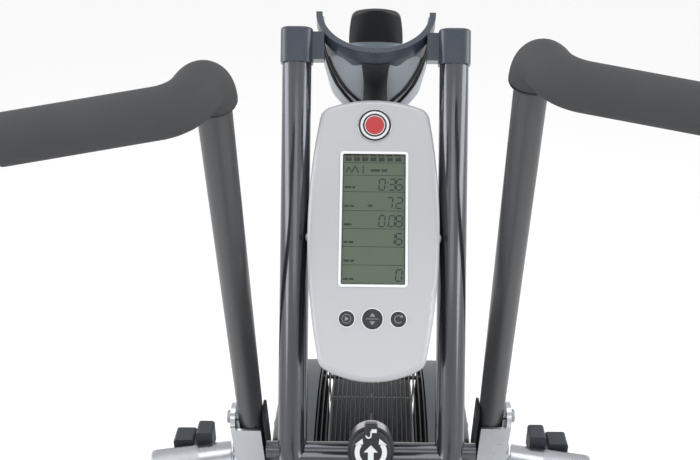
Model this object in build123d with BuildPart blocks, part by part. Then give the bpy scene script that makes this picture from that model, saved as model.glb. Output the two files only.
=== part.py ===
from build123d import *

import os
from math import atan2, cos, radians, sin, tan

# Upright air bike, millimetres. The rider faces +Y, +Z is up, +X is the rider's right.
# The origin is on the floor, under the middle of the machine.

# --- driving dimensions ---
length = 1240.0
stabilizer_length = 540.0
stabilizer_radius = 25.0
beam_width = 60.0
beam_low = 52.0
beam_high = 96.0
foot_width = 40.0
foot_depth = 68.0
fit_gap = 0.1
running_gap = 0.05
skin_gap = 0.5

cage_radius = 300.0
cage_half_width = 73.0
fan_z = 420.0
hoop_count = 24
hoop_wire = 2.4
cage_bar_count = 12
shroud_inner_x = 75.0
shroud_outer_x = 134.0
shroud_shoulder = 40.0
shroud_wall = 3.0
tail_radius = 115.0
axle_radius = 10.0
fan_radius = 280.0
fan_half_width = 58.0
blade_count = 18

crank_behind_fan = 385.0
crank_z = 330.0
crank_length = 165.0
rod_throw = 114.0
crank_arm_x = 174.0
crank_arm_thickness = 14.0
belt_x = 104.0
belt_width = 12.0
crank_pulley_radius = 95.0
fan_pulley_radius = 19.0
belt_thickness = 3.0
pedal_size = (95.0, 88.0, 24.0)

leg_x = 137.0
leg_thickness = 12.0
leg_width = 50.0
pivot_z = 655.0
arm_lean = 17.5
phase_gap = 3.5
arm_x = 156.0
arm_radius = 16.0
arm_inward = 1.25
arm_height = 637.0
tube_wall = 2.0
grip_radius = 22.0
lever_x = 172.0
lever_thickness = 6.0
lever_reach = 400.0
lever_top = 112.0
rod_thickness = 8.0
rod_gap = 2.0
peg_radius = 24.0
peg_start_x = 188.0
peg_length = 106.0
peg_sweep = 12.0

mast_lean = 28.0
mast_x = 86.0
mast_radius = 16.0
mast_length = 443.0
cap_height = 35.0
post_width = 50.0
post_depth = 46.0
console_lean = 38.0
console_z = 1060.0
console_thickness = 34.0
console_half_width = 70.5
console_split = 18.0
holder_radius = 63.0
holder_lean = 25.0
holder_depth = 128.0

seat_lean = 15.0
seat_behind_crank = 150.0
seat_tube_radius = 22.5
seat_tube_top = 600.0
seat_post_radius = 17.5
seat_post_low = 380.0
saddle_z = 905.0
saddle_length = 265.0
saddle_rear_radius = 105.0
saddle_nose_radius = 32.0
saddle_height = 62.0

# --- places that follow from them ---
fan_y = length / 2 - cage_radius
crank_y = fan_y - crank_behind_fan
seat_tube_y = crank_y - seat_behind_crank
stabilizer_z = stabilizer_radius + 13.0
front_stabilizer_y = fan_y + 165.0
rear_stabilizer_y = -length / 2 + foot_depth / 2
cockpit_y = fan_y - 137.0
pivot_y = cockpit_y + 94.0
lever_clear = 24.0
crossmember_top = beam_high + 14.0
wheel_x = 190.0
wheel_radius = 27.0
wheel_axle_radius = 5.0
wheel_y = front_stabilizer_y + stabilizer_radius + wheel_radius + 5
wheel_z = wheel_radius + 6

os.makedirs("parts", exist_ok=True)


def save(piece, name):
    """Label one finished piece and write it."""
    piece.part.label = name
    export_step(piece.part, f"parts/{name}.step")


def save_pair(piece, name, right_turn=0.0):
    """Write a right-hand piece, turned about the arm pivot, and its mirror image on the left."""
    pivot = Axis((0, pivot_y, pivot_z), (1, 0, 0))
    with BuildPart() as right:
        add(piece.part.rotate(pivot, right_turn))
    with BuildPart() as left:
        add(mirror(piece.part, about=Plane.YZ, mode=Mode.PRIVATE))
    save(right, name + "_right")
    save(left, name + "_left")


def side_plane(x, y=0.0, z=0.0):
    """Plane facing +X whose local x is +Y and local y is +Z."""
    return Plane(origin=(x, y, z), x_dir=(0, 1, 0), z_dir=(1, 0, 0))


def bent_rod(points, bends, radius):
    """Solid round bar that follows straight runs joined by tangent bends."""
    with BuildPart() as bar:
        with BuildLine() as path:
            FilletPolyline(*points, radius=bends)
        with BuildSketch(Plane(origin=path.line @ 0, z_dir=path.line % 0)):
            Circle(radius)
        sweep()
    return bar


def bent_tube(points, bends, radius, wall):
    """Round tube that follows straight runs joined by tangent bends."""
    with BuildPart() as tube:
        with BuildLine() as path:
            FilletPolyline(*points, radius=bends)
        with BuildSketch(Plane(origin=path.line @ 0, z_dir=path.line % 0)):
            Circle(radius)
            Circle(radius - wall, mode=Mode.SUBTRACT)
        sweep()
    return tube


# --- base: beam, two cross tubes and their rubber feet ---
for name, tube_y in (("front_stabilizer", front_stabilizer_y), ("rear_stabilizer", rear_stabilizer_y)):
    with BuildPart() as stabilizer:
        with BuildSketch(side_plane(-stabilizer_length / 2, tube_y, stabilizer_z)):
            Circle(stabilizer_radius)
        extrude(amount=stabilizer_length)
        if name == "front_stabilizer":
            for side in (-1, 1):
                for x in (side * wheel_x - 16, side * wheel_x + 12):
                    with BuildSketch(side_plane(x)):
                        with Locations((tube_y, stabilizer_z)):
                            Circle(20)
                        with Locations((wheel_y, wheel_z)):
                            Circle(10)
                        make_hull()
                    extrude(amount=4)
                with BuildSketch(side_plane(side * wheel_x - 12.5, wheel_y, wheel_z)):
                    Circle(wheel_axle_radius)
                extrude(amount=25)
        with BuildSketch(side_plane(-stabilizer_length / 2, tube_y, stabilizer_z)):
            Circle(stabilizer_radius - 2.5)
        extrude(amount=stabilizer_length, mode=Mode.SUBTRACT)
    save(stabilizer, name)

with BuildPart() as feet:
    for tube_y in (front_stabilizer_y, rear_stabilizer_y):
        for side in (-1, 1):
            foot_x = side * (stabilizer_length / 2 - foot_width / 2 + 4)
            with BuildSketch(side_plane(foot_x - foot_width / 2, tube_y)):
                with Locations((0, stabilizer_z - 4)):
                    Circle(foot_depth / 2)
                with Locations((0, stabilizer_z / 2 - 4)):
                    Rectangle(foot_depth, stabilizer_z + 8)
                with Locations((0, -50)):
                    Rectangle(200, 100, mode=Mode.SUBTRACT)
            extrude(amount=foot_width)
            with BuildSketch(side_plane(-stabilizer_length / 2 - fit_gap, tube_y, stabilizer_z)):
                Circle(stabilizer_radius + fit_gap)
            extrude(amount=stabilizer_length + 2 * fit_gap, mode=Mode.SUBTRACT)
save(feet, "rubber_feet")

with BuildPart() as beam:
    with BuildSketch(Plane.XZ.offset(-front_stabilizer_y - 45)):
        with Locations((0, (beam_low + beam_high) / 2)):
            RectangleRounded(beam_width, beam_high - beam_low, 8)
            RectangleRounded(beam_width - 6, beam_high - beam_low - 6, 5, mode=Mode.SUBTRACT)
    extrude(amount=front_stabilizer_y - rear_stabilizer_y + 75)
    for tube_y in (front_stabilizer_y, rear_stabilizer_y):
        with BuildSketch(side_plane(-beam_width, tube_y, stabilizer_z)):
            Circle(stabilizer_radius + fit_gap)
        extrude(amount=2 * beam_width, mode=Mode.SUBTRACT)
    with BuildSketch(Plane.XY.offset(beam_high - 2)):
        with Locations((0, fan_y)):
            RectangleRounded(2 * (leg_x + leg_thickness), leg_width, 5)
    extrude(amount=crossmember_top - beam_high + 2)
save(beam, "base_beam")

# --- two legs that carry the fan axle and the arm pivots ---
with BuildPart() as leg:
    with BuildSketch(side_plane(leg_x)):
        with Locations((fan_y, fan_z)):
            Circle(30)
        with Locations((pivot_y, pivot_z)):
            Circle(22)
        make_hull()
        with Locations((fan_y, (crossmember_top + fan_z) / 2)):
            Rectangle(leg_width, fan_z - crossmember_top)
        with Locations((fan_y, fan_z), (pivot_y, pivot_z)):
            Circle(axle_radius + fit_gap, mode=Mode.SUBTRACT)
    extrude(amount=leg_thickness)
save_pair(leg, "fan_leg")

# --- head post, bottom bracket shell, seat tube and brace ---
post_lean = atan2(cockpit_y - 116.4 - crank_y, 774.0 - crank_z)
post_low_y = crank_y - tan(post_lean) * (crank_z - beam_high + 20)
with BuildPart() as head_post:
    post_up = (0, sin(post_lean), cos(post_lean))
    post_plane = Plane(origin=(0, post_low_y, beam_high - 20), x_dir=(1, 0, 0), z_dir=post_up)
    with BuildSketch(post_plane):
        RectangleRounded(post_width, post_depth, 10)
        RectangleRounded(post_width - 5, post_depth - 5, 8, mode=Mode.SUBTRACT)
    extrude(amount=(805 - beam_high) / cos(post_lean))
    with BuildSketch(Plane.XY.offset(beam_high - 60)):
        with Locations((0, crank_y)):
            Rectangle(300, 300)
    extrude(amount=60, mode=Mode.SUBTRACT)
    with BuildSketch(side_plane(-36, crank_y, crank_z)):
        Circle(26)
    extrude(amount=72)
    with BuildSketch(side_plane(-36, crank_y, crank_z)):
        Circle(21)
    extrude(amount=72, mode=Mode.SUBTRACT)
save(head_post, "head_post")

seat_dir = Vector(0, -sin(radians(seat_lean)), cos(radians(seat_lean)))


def on_seat_line(z):
    """Point of the seat tube's axis at one height."""
    return Vector(0, seat_tube_y - tan(radians(seat_lean)) * (z - beam_high), z)


with BuildPart() as seat_tube:
    with BuildSketch(Plane(origin=on_seat_line(beam_high - 30), z_dir=seat_dir)):
        Circle(seat_tube_radius)
        Circle(seat_post_radius + fit_gap, mode=Mode.SUBTRACT)
    extrude(amount=(seat_tube_top - beam_high + 30) / cos(radians(seat_lean)))
    split(bisect_by=Plane.XY.offset(beam_high), keep=Keep.TOP)
    with BuildSketch(Plane(origin=on_seat_line(seat_tube_top - 30), z_dir=(0, -1, 0))):
        Circle(6.2)
    extrude(amount=60, mode=Mode.SUBTRACT)

brace_z = crank_z + 100
with BuildPart() as brace:
    with BuildSketch(Plane.XZ.offset(-crank_y)):
        with Locations((0, brace_z)):
            Circle(19)
            Circle(16.5, mode=Mode.SUBTRACT)
    extrude(amount=on_seat_line(brace_z).Y * -1 + crank_y)
    with BuildSketch(Plane(origin=on_seat_line(beam_high - 30), z_dir=seat_dir)):
        Circle(seat_tube_radius + fit_gap)
    extrude(amount=seat_tube_top, mode=Mode.SUBTRACT)
    with BuildSketch(post_plane):
        Rectangle(post_width, post_depth + 2 * fit_gap)
    extrude(amount=seat_tube_top, mode=Mode.SUBTRACT)
    add(seat_tube.part)
save(brace, "seat_tube")

# --- mast: two tubes that lean away from the rider and bend together onto the head post ---
mast_up = Vector(0, sin(radians(mast_lean)), cos(radians(mast_lean)))
mast_back = Vector(0, -cos(radians(mast_lean)), sin(radians(mast_lean)))
mast_foot = Vector(0, cockpit_y + 28.5 + tan(radians(mast_lean)) * (845 - 1047), 845)


def on_mast(x, up, back=0.0):
    """Point given across the mast, along it from its lower bend, and out towards the rider."""
    return Vector(x, 0, 0) + mast_foot + mast_up * up + mast_back * back


def mast_plane(x, up, back=0.0):
    """Plane square to the mast, at one of its points."""
    return Plane(origin=on_mast(x, up, back), x_dir=(1, 0, 0), z_dir=mast_up)


def facing_rider(x, up, back=0.0):
    """Plane parallel to the mast that faces the rider, local y up the mast."""
    return Plane(origin=on_mast(x, up, back), x_dir=(1, 0, 0), z_dir=mast_back)


mast_points = [on_mast(mast_x, mast_length), on_mast(mast_x, -34), on_mast(8, -88)]
mast_bend_radius = 52.0
mast_bend = bent_tube(mast_points, mast_bend_radius, mast_radius, tube_wall)
mast_core = bent_rod(mast_points, mast_bend_radius, mast_radius + fit_gap)
with BuildPart() as mast_tube:
    add(mast_bend.part)
    with BuildSketch(post_plane):
        Rectangle(post_width + 2 * fit_gap, post_depth + 60)
    extrude(amount=1000, mode=Mode.SUBTRACT)
save_pair(mast_tube, "mast_tube")

crossbar_up = -27.0
knob_up = -8.0
boss_radius = 25.0
boss_back = 20.0
with BuildPart() as crossbar:
    with BuildSketch(Plane(origin=on_mast(8 - mast_x, crossbar_up), z_dir=(1, 0, 0))):
        Circle(16)
    extrude(amount=2 * mast_x - 16)
    with BuildSketch(facing_rider(0, knob_up, -10)):
        Circle(boss_radius)
    extrude(amount=boss_back + 10)
    with BuildSketch(Plane(origin=on_mast(-mast_x - 28, -14), z_dir=(1, 0, 0))):
        Circle(9)
    extrude(amount=2 * (mast_x + 28))
    add(mast_core.part, mode=Mode.SUBTRACT)
    add(mirror(mast_core.part, about=Plane.YZ, mode=Mode.PRIVATE), mode=Mode.SUBTRACT)
    with BuildSketch(facing_rider(0, knob_up, boss_back)):
        Circle(5.1)
    extrude(amount=-20, mode=Mode.SUBTRACT)
save(crossbar, "mast_crossbar")

with BuildPart() as lock_knob:
    with BuildSketch(facing_rider(0, knob_up, boss_back + skin_gap)):
        Circle(21.5)
        with Locations((0, 21)):
            RectangleRounded(14, 18, 3)
    extrude(amount=13)
    fillet(lock_knob.faces().sort_by(Axis((0, 0, 0), mast_back))[-1].edges(), 2.5)
    with BuildSketch(facing_rider(0, knob_up, boss_back + skin_gap)):
        Circle(5.0)
    extrude(amount=-15)
save(lock_knob, "lock_knob")

# --- moulded caps on the mast tubes, with the bottle holder between them ---
holder_away = Vector(0, cos(radians(holder_lean)), sin(radians(holder_lean)))
holder_down = Vector(0, sin(radians(holder_lean)), -cos(radians(holder_lean)))
holder_centre = Vector(0, cockpit_y + 158, 1246)


def holder_plane(depth):
    """Plane across the bottle holder, depth below its rim, local y pointing away from the rider."""
    return Plane(origin=holder_centre + holder_down * depth, x_dir=(1, 0, 0), z_dir=holder_down * -1)


with BuildPart() as holder_rim:
    with BuildSketch(holder_plane(7)):
        Circle(holder_radius + 3.5)
        Circle(holder_radius - 3.5, mode=Mode.SUBTRACT)
        with Locations((0, 60)):
            Rectangle(200, 120, mode=Mode.SUBTRACT)
    extrude(amount=14)
save(holder_rim, "holder_rim")

cap_low = mast_length - cap_height
with BuildPart() as cap:
    with BuildSketch(mast_plane(mast_x, cap_low)):
        RectangleRounded(2 * mast_radius + 3, 2 * mast_radius + 3, 12)
    extrude(amount=cap_height + 3)
    fillet(cap.faces().sort_by(Axis((0, 0, 0), mast_up))[-1].edges(), 2.5)
    with BuildSketch(facing_rider(0, cap_low + 19, 8)):
        with Locations((mast_x - mast_radius - 5, 0)):
            Rectangle(18, 30)
    extrude(amount=-22)
    with BuildSketch(mast_plane(mast_x, cap_low)):
        Circle(mast_radius + fit_gap)
    extrude(amount=cap_height, mode=Mode.SUBTRACT)
    with BuildSketch(holder_plane(60)):
        Circle(holder_radius + 3.5 + fit_gap)
    extrude(amount=100, mode=Mode.SUBTRACT)
save_pair(cap, "mast_cap")

cup_wall = 2.5
with BuildPart() as holder_cup:
    with BuildSketch(Plane(origin=holder_centre, x_dir=holder_away, z_dir=(1, 0, 0))) as cup_sketch:
        with BuildLine():
            Polyline(
                (0, -holder_depth),
                (-holder_radius + 33, -holder_depth + 3),
                (-holder_radius + 17, -holder_depth + 14),
                (-holder_radius + 8, -holder_depth + 32),
                (-holder_radius + 2, -60),
                (-holder_radius + 1, -8),
                (-holder_radius + 1 + cup_wall, -8),
                (-holder_radius + 2 + cup_wall, -60),
                (-holder_radius + 8 + cup_wall, -holder_depth + 32),
                (-holder_radius + 17 + cup_wall, -holder_depth + 16),
                (-holder_radius + 33 + cup_wall, -holder_depth + 6),
                (0, -holder_depth + cup_wall),
                close=True,
            )
        make_face()
    revolve(axis=Axis(holder_centre, holder_down), revolution_arc=360)
    with BuildSketch(holder_plane(holder_depth - 32)):
        with Locations((0, 80)):
            Rectangle(200, 140)
    extrude(amount=120, mode=Mode.SUBTRACT)
save(holder_cup, "holder_cup")

with BuildPart() as holder_tongue:
    with BuildSketch(holder_plane(holder_depth - 32 - skin_gap)):
        with Locations((0, holder_radius - 12)):
            RectangleRounded(66, 6, 2.5)
    extrude(amount=62)
    fillet(holder_tongue.edges().group_by(Axis((0, 0, 0), holder_down))[0], 2)
    with BuildSketch(holder_plane(holder_depth - 34)):
        with Locations((0, -holder_radius - 2)):
            Rectangle(27, 5)
    extrude(amount=holder_depth - 34 - 7.5)
save(holder_tongue, "holder_trim")

# --- console ---
face_up = Vector(0, sin(radians(console_lean)), cos(radians(console_lean)))
face_out = Vector(0, -cos(radians(console_lean)), sin(radians(console_lean)))
face_point = Vector(0, cockpit_y, console_z)
console_top = 145.0
console_bottom = -159.0


def face_plane(depth=0.0):
    """Plane parallel to the console's face, depth behind it, local y up the face."""
    return Plane(origin=face_point - face_out * depth, x_dir=(1, 0, 0), z_dir=face_out)


def console_outline(inset):
    """Tall rounded outline, widest at the middle, arched at both ends."""
    side = console_half_width - inset
    high, low = 133.0 - inset, -143.0 + inset
    wide, narrow = 58.0 - inset, 55.0 - inset
    with BuildLine() as outline:
        ThreePointArc((-wide, high), (0, console_top - inset), (wide, high))
        ThreePointArc((wide, high), (side, 10), (narrow, low))
        ThreePointArc((narrow, low), (0, console_bottom + inset), (-narrow, low))
        ThreePointArc((-narrow, low), (-side, 10), (-wide, high))
    make_face(outline.edges())


window_low = -61.0
window_high = 86.5
window_width = 74.0
badge_up = 115.0
button_up = -94.0
button_step = 27.0
button_radii = {"left": 7.8, "middle": 10.4, "right": 7.8}
button_x = {"left": -button_step, "middle": 0.0, "right": button_step}

with BuildPart() as console_front:
    with BuildSketch(face_plane(console_split)):
        console_outline(0)
    extrude(amount=console_split)
    corners = console_front.edges().filter_by(Axis((0, 0, 0), face_out))
    fillet(corners, 15)
    fillet(console_front.faces().sort_by(Axis((0, 0, 0), face_out))[-1].edges(), 6)
    with BuildSketch(face_plane(console_split)):
        console_outline(3)
    extrude(amount=console_split - 3, mode=Mode.SUBTRACT)
    with BuildSketch(face_plane(5)):
        with Locations((0, (window_low + window_high) / 2)):
            RectangleRounded(window_width, window_high - window_low, 4)
    extrude(amount=10, mode=Mode.SUBTRACT)
    with BuildSketch(face_plane(1.0)):
        with Locations((0, badge_up)):
            Circle(18.6)
    extrude(amount=5, mode=Mode.SUBTRACT)
    with BuildSketch(face_plane(5)):
        for name, radius in button_radii.items():
            with Locations((button_x[name], button_up)):
                Circle(radius + 0.4)
    extrude(amount=10, mode=Mode.SUBTRACT)
save(console_front, "console_front")

with BuildPart() as console_back:
    with BuildSketch(face_plane(console_thickness)):
        console_outline(9)
    extrude(amount=console_thickness - console_split - fit_gap, taper=-8)
    with BuildSketch(face_plane(console_thickness - 3)):
        console_outline(12)
    extrude(amount=console_thickness, taper=-8, mode=Mode.SUBTRACT)
save(console_back, "console_back")

with BuildPart() as lens:
    with BuildSketch(face_plane(2.4)):
        with Locations((0, (window_low + window_high) / 2)):
            RectangleRounded(window_width - 2 * fit_gap, window_high - window_low - 2 * fit_gap, 4)
    extrude(amount=1.6)
save(lens, "console_lens")

with BuildPart() as lcd:
    with BuildSketch(face_plane(6.5)):
        with Locations((0, (window_low + window_high) / 2)):
            Rectangle(window_width + 4, window_high - window_low + 4)
    extrude(amount=3.0)
    with BuildSketch(face_plane(12)):
        with Locations((0, -5)):
            Rectangle(90, 230)
    extrude(amount=1.6)
save(lcd, "display_board")

with BuildPart() as badge:
    with BuildSketch(face_plane(1.0)):
        with Locations((0, badge_up)):
            Circle(18.5)
    extrude(amount=2.2)
    fillet(badge.faces().sort_by(Axis((0, 0, 0), face_out))[-1].edges(), 0.8)
save(badge, "console_badge")

for name, radius in button_radii.items():
    with BuildPart() as button:
        with BuildSketch(face_plane(7)):
            with Locations((button_x[name], button_up)):
                Circle(radius)
        extrude(amount=7 + 1.8)
        fillet(button.faces().sort_by(Axis((0, 0, 0), face_out))[-1].edges(), 1.2)
    save(button, "button_" + name)

with BuildPart() as bracket:
    with BuildSketch(face_plane(console_thickness + 3)):
        Rectangle(2 * mast_x, 40)
    extrude(amount=3)
    for side in (-1, 1):
        with BuildSketch(mast_plane(side * mast_x, 0)):
            Circle(mast_radius + fit_gap)
        extrude(amount=mast_length, mode=Mode.SUBTRACT)
        with BuildSketch(side_plane(side * mast_x)):
            with Locations((cockpit_y, console_z)):
                Rectangle(300, 300)
        extrude(amount=side * 40, mode=Mode.SUBTRACT)
save(bracket, "console_bracket")

# --- fan cage, side shrouds, fan and belt drive ---
hoop_pitch = (2 * cage_half_width - hoop_wire) / (hoop_count - 1)
bar_radius = cage_radius - hoop_wire - 2.6
with BuildPart() as fan_cage:
    for index in range(hoop_count):
        with BuildSketch(side_plane(-cage_half_width + index * hoop_pitch, fan_y, fan_z)):
            Circle(cage_radius)
            Circle(cage_radius - hoop_wire, mode=Mode.SUBTRACT)
        extrude(amount=hoop_wire)
    with BuildSketch(side_plane(-cage_half_width, fan_y, fan_z)):
        with PolarLocations(bar_radius, cage_bar_count, start_angle=15):
            Circle(3)
    extrude(amount=2 * cage_half_width)
save(fan_cage, "fan_cage")


def teardrop(grow):
    """Outline round the fan and the crank pulley together."""
    with Locations((fan_y, fan_z)):
        Circle(cage_radius + grow)
    with Locations((crank_y, crank_z)):
        Circle(tail_radius + grow)
    make_hull()


with BuildPart() as shroud_core:
    with BuildSketch(side_plane(shroud_inner_x)):
        teardrop(-shroud_wall)
    extrude(amount=shroud_outer_x - shroud_inner_x - shroud_wall)
    fillet(shroud_core.faces().sort_by(Axis.X)[-1].edges(), shroud_shoulder - shroud_wall)

with BuildPart() as shroud:
    with BuildSketch(side_plane(shroud_inner_x)):
        teardrop(0)
    extrude(amount=shroud_outer_x - shroud_inner_x)
    fillet(shroud.faces().sort_by(Axis.X)[-1].edges(), shroud_shoulder)
    add(shroud_core.part, mode=Mode.SUBTRACT)
    with BuildSketch(side_plane(shroud_inner_x)):
        with Locations((fan_y, fan_z), (crank_y, crank_z)):
            Circle(axle_radius + 2)
    extrude(amount=100, mode=Mode.SUBTRACT)
save_pair(shroud, "shroud")

screw_ring = 253.5
with BuildPart() as screws:
    for side in (-1, 1):
        with BuildSketch(side_plane(side * shroud_outer_x, fan_y, fan_z)):
            with PolarLocations(screw_ring, 6, start_angle=88):
                Circle(6)
            with Locations((crank_y - 60 - fan_y, crank_z - fan_z), (crank_y - fan_y, crank_z + 60 - fan_z)):
                Circle(6)
        extrude(amount=side * 2.4)
        with BuildSketch(side_plane(side * (console_half_width + fit_gap), cockpit_y + 5, console_z - 12)):
            Circle(4.5)
        extrude(amount=side * 3)
save(screws, "cover_screws")

with BuildPart() as axle:
    with BuildSketch(side_plane(-leg_x - leg_thickness, fan_y, fan_z)):
        Circle(axle_radius)
    extrude(amount=2 * (leg_x + leg_thickness))
    for side in (-1, 1):
        with BuildSketch(side_plane(side * (leg_x + leg_thickness), fan_y, fan_z)):
            RegularPolygon(13, 6)
        extrude(amount=side * 9)
save(axle, "fan_axle")

bearing_outer = 17.0
bearing_x = 46.0
hub_shoulder = 4.0
with BuildPart() as bearings:
    for x in (-bearing_x - 12, bearing_x):
        with BuildSketch(side_plane(x, fan_y, fan_z)):
            Circle(bearing_outer)
            Circle(axle_radius + running_gap, mode=Mode.SUBTRACT)
        extrude(amount=12)
    for x in (-35, 23):
        with BuildSketch(side_plane(x, crank_y, crank_z)):
            Circle(21 - running_gap)
            Circle(axle_radius + running_gap, mode=Mode.SUBTRACT)
        extrude(amount=12)
save(bearings, "bearings")

with BuildPart() as hub:
    with BuildSketch(side_plane(-fan_half_width, fan_y, fan_z)):
        Circle(bearing_outer + 7)
    extrude(amount=2 * fan_half_width + hub_shoulder)
    with BuildSketch(side_plane(fan_half_width, fan_y, fan_z)):
        Circle(15)
    extrude(amount=belt_x - fan_half_width)
    with BuildSketch(side_plane(belt_x, fan_y, fan_z)):
        Circle(fan_pulley_radius)
    extrude(amount=belt_width)
    for offset_x, wide in ((belt_x - 2, 2), (belt_x + belt_width, 2)):
        with BuildSketch(side_plane(offset_x, fan_y, fan_z)):
            Circle(fan_pulley_radius + 5)
        extrude(amount=wide)
    with BuildSketch(side_plane(-200, fan_y, fan_z)):
        Circle(axle_radius + 1)
    extrude(amount=400, mode=Mode.SUBTRACT)
    with BuildSketch(side_plane(-bearing_x - 12, fan_y, fan_z)):
        Circle(bearing_outer + fit_gap / 2)
    extrude(amount=2 * bearing_x + 24, mode=Mode.SUBTRACT)
save(hub, "fan_hub")

with BuildPart() as fan_wheel:
    with BuildSketch(side_plane(-1.5, fan_y, fan_z)):
        Circle(fan_radius - 30)
        Circle(bearing_outer + 7 + fit_gap, mode=Mode.SUBTRACT)
    extrude(amount=3)
    with BuildSketch(side_plane(-fan_half_width, fan_y, fan_z)):
        with PolarLocations(fan_radius - 45, blade_count):
            Rectangle(80, 2.5)
    extrude(amount=2 * fan_half_width)
    for x in (-fan_half_width, fan_half_width - 3):
        with BuildSketch(side_plane(x, fan_y, fan_z)):
            Circle(fan_radius - 8)
            Circle(fan_radius - 16, mode=Mode.SUBTRACT)
        extrude(amount=3)
save(fan_wheel, "fan_blades")

belt_gap = 0.4
with BuildPart() as belt:
    with BuildSketch(side_plane(belt_x + 0.5)) as belt_outer:
        with Locations((fan_y, fan_z)):
            Circle(fan_pulley_radius + belt_gap + belt_thickness)
        with Locations((crank_y, crank_z)):
            Circle(crank_pulley_radius + belt_gap + belt_thickness)
        make_hull()
    extrude(amount=belt_width - 1)
    with BuildSketch(side_plane(belt_x + 0.5)):
        with Locations((fan_y, fan_z)):
            Circle(fan_pulley_radius + belt_gap)
        with Locations((crank_y, crank_z)):
            Circle(crank_pulley_radius + belt_gap)
        make_hull()
    extrude(amount=belt_width - 1, mode=Mode.SUBTRACT)
save(belt, "drive_belt")

with BuildPart() as spindle:
    with BuildSketch(side_plane(-crank_arm_x - crank_arm_thickness, crank_y, crank_z)):
        Circle(axle_radius)
    extrude(amount=2 * (crank_arm_x + crank_arm_thickness))
    with BuildSketch(side_plane(belt_x, crank_y, crank_z)):
        Circle(crank_pulley_radius)
        with PolarLocations(60, 5):
            Circle(18, mode=Mode.SUBTRACT)
    extrude(amount=belt_width)
save(spindle, "crank_spindle")

for hand, side, turn in (("right", 1, -1), ("left", -1, 1)):
    tip_z = crank_z + turn * crank_length
    with BuildPart() as crank_arm:
        with BuildSketch(side_plane(side * crank_arm_x, crank_y, crank_z)):
            Circle(20)
            with Locations((0, turn * crank_length)):
                Circle(14)
            make_hull()
            Circle(axle_radius + fit_gap / 2, mode=Mode.SUBTRACT)
        extrude(amount=side * crank_arm_thickness)
        with BuildSketch(side_plane(side * crank_arm_x, crank_y, crank_z + turn * rod_throw)):
            Circle(7)
        extrude(amount=side * -3)
        with BuildSketch(side_plane(side * (crank_arm_x + crank_arm_thickness), crank_y, tip_z)):
            Circle(6)
        extrude(amount=side * (pedal_size[0] + 16))
    save(crank_arm, "crank_arm_" + hand)
    with BuildPart() as pedal:
        with BuildSketch(side_plane(side * (crank_arm_x + crank_arm_thickness + 8), crank_y, tip_z)):
            RectangleRounded(pedal_size[1], pedal_size[2], 8)
            Circle(6 + running_gap, mode=Mode.SUBTRACT)
        extrude(amount=side * pedal_size[0])
    save(pedal, "pedal_" + hand)

# --- arm linkage: lever, clamp strap, tube, grip, rod and peg, modelled on the right ---
arm_up = Vector(0, -sin(radians(arm_lean)), cos(radians(arm_lean)))
arm_back = Vector(0, -cos(radians(arm_lean)), -sin(radians(arm_lean)))
pivot = Vector(0, pivot_y, pivot_z)


def on_arm(x, up, back=0.0):
    """Point given across the machine, along the arm from its pivot, and towards the rider."""
    return Vector(x, 0, 0) + pivot + arm_up * up + arm_back * back


def arm_plane(x):
    """Plane facing +X at the pivot, local x up the arm, local y towards the rider."""
    return Plane(origin=on_arm(x, 0), x_dir=arm_up, z_dir=(1, 0, 0))


bolt_up = (33.0, 104.0)
lever_width = 38.0
with BuildPart() as lever:
    with BuildSketch(arm_plane(lever_x)):
        with Locations((-lever_reach, 0)):
            Circle(15)
        with Locations((lever_top - 10, 0)):
            Circle(19)
        make_hull()
        Circle(axle_radius + running_gap, mode=Mode.SUBTRACT)
    extrude(amount=lever_thickness)
    with BuildSketch(arm_plane(lever_x + lever_thickness)):
        Circle(19)
        Circle(axle_radius + running_gap, mode=Mode.SUBTRACT)
    extrude(amount=5)
    with BuildSketch(arm_plane(arm_x - arm_radius)):
        with Locations((lever_clear + 39, 18.2)):
            Rectangle(78, 3)
    extrude(amount=lever_x - arm_x + arm_radius)
    with BuildSketch(arm_plane(lever_x)):
        with Locations((-lever_reach, 0)):
            Circle(6)
    extrude(amount=-rod_gap - rod_thickness - 1)
    with BuildSketch(arm_plane(lever_x)):
        with Locations([(up, 0) for up in bolt_up]):
            Circle(5 + fit_gap)
    extrude(amount=lever_thickness, mode=Mode.SUBTRACT)
save_pair(lever, "lever", -phase_gap)

arm_top = on_arm(arm_x - sin(radians(arm_inward)) * arm_height, arm_height)
arm_low_x = arm_x - sin(radians(arm_inward)) * lever_clear
grip_points = [
    arm_top,
    Vector(156, cockpit_y - 152, 1250),
    Vector(308, cockpit_y - 172, 1228),
]
arm_bend = bent_tube([on_arm(arm_low_x, lever_clear), *grip_points], 32, arm_radius, tube_wall)
with BuildPart() as arm_tube:
    add(arm_bend.part)
    with BuildSketch(arm_plane(arm_x - 30)):
        with Locations([(up, 0) for up in bolt_up]):
            Circle(5 + fit_gap)
    extrude(amount=60, mode=Mode.SUBTRACT)
    with BuildSketch(arm_plane(lever_x - fit_gap)):
        Rectangle(400, 100)
    extrude(amount=10, mode=Mode.SUBTRACT)
save_pair(arm_tube, "arm_tube", -phase_gap)

grip_start = arm_top + (on_arm(arm_low_x, lever_clear) - arm_top).normalized() * 34
grip = bent_tube([grip_start, *grip_points], 32, grip_radius, grip_radius - arm_radius - fit_gap)
save_pair(grip, "grip", -phase_gap)

strap_x = arm_x - arm_radius - 5.8
with BuildPart() as strap:
    with BuildSketch(arm_plane(strap_x)):
        with Locations((lever_clear + 12, 0)):
            Circle(12)
        with Locations((lever_top + 4, 0)):
            Circle(15)
        make_hull()
        with Locations([(up, 0) for up in bolt_up]):
            Circle(5 + fit_gap, mode=Mode.SUBTRACT)
    extrude(amount=2.5)
save_pair(strap, "strap", -phase_gap)

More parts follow.
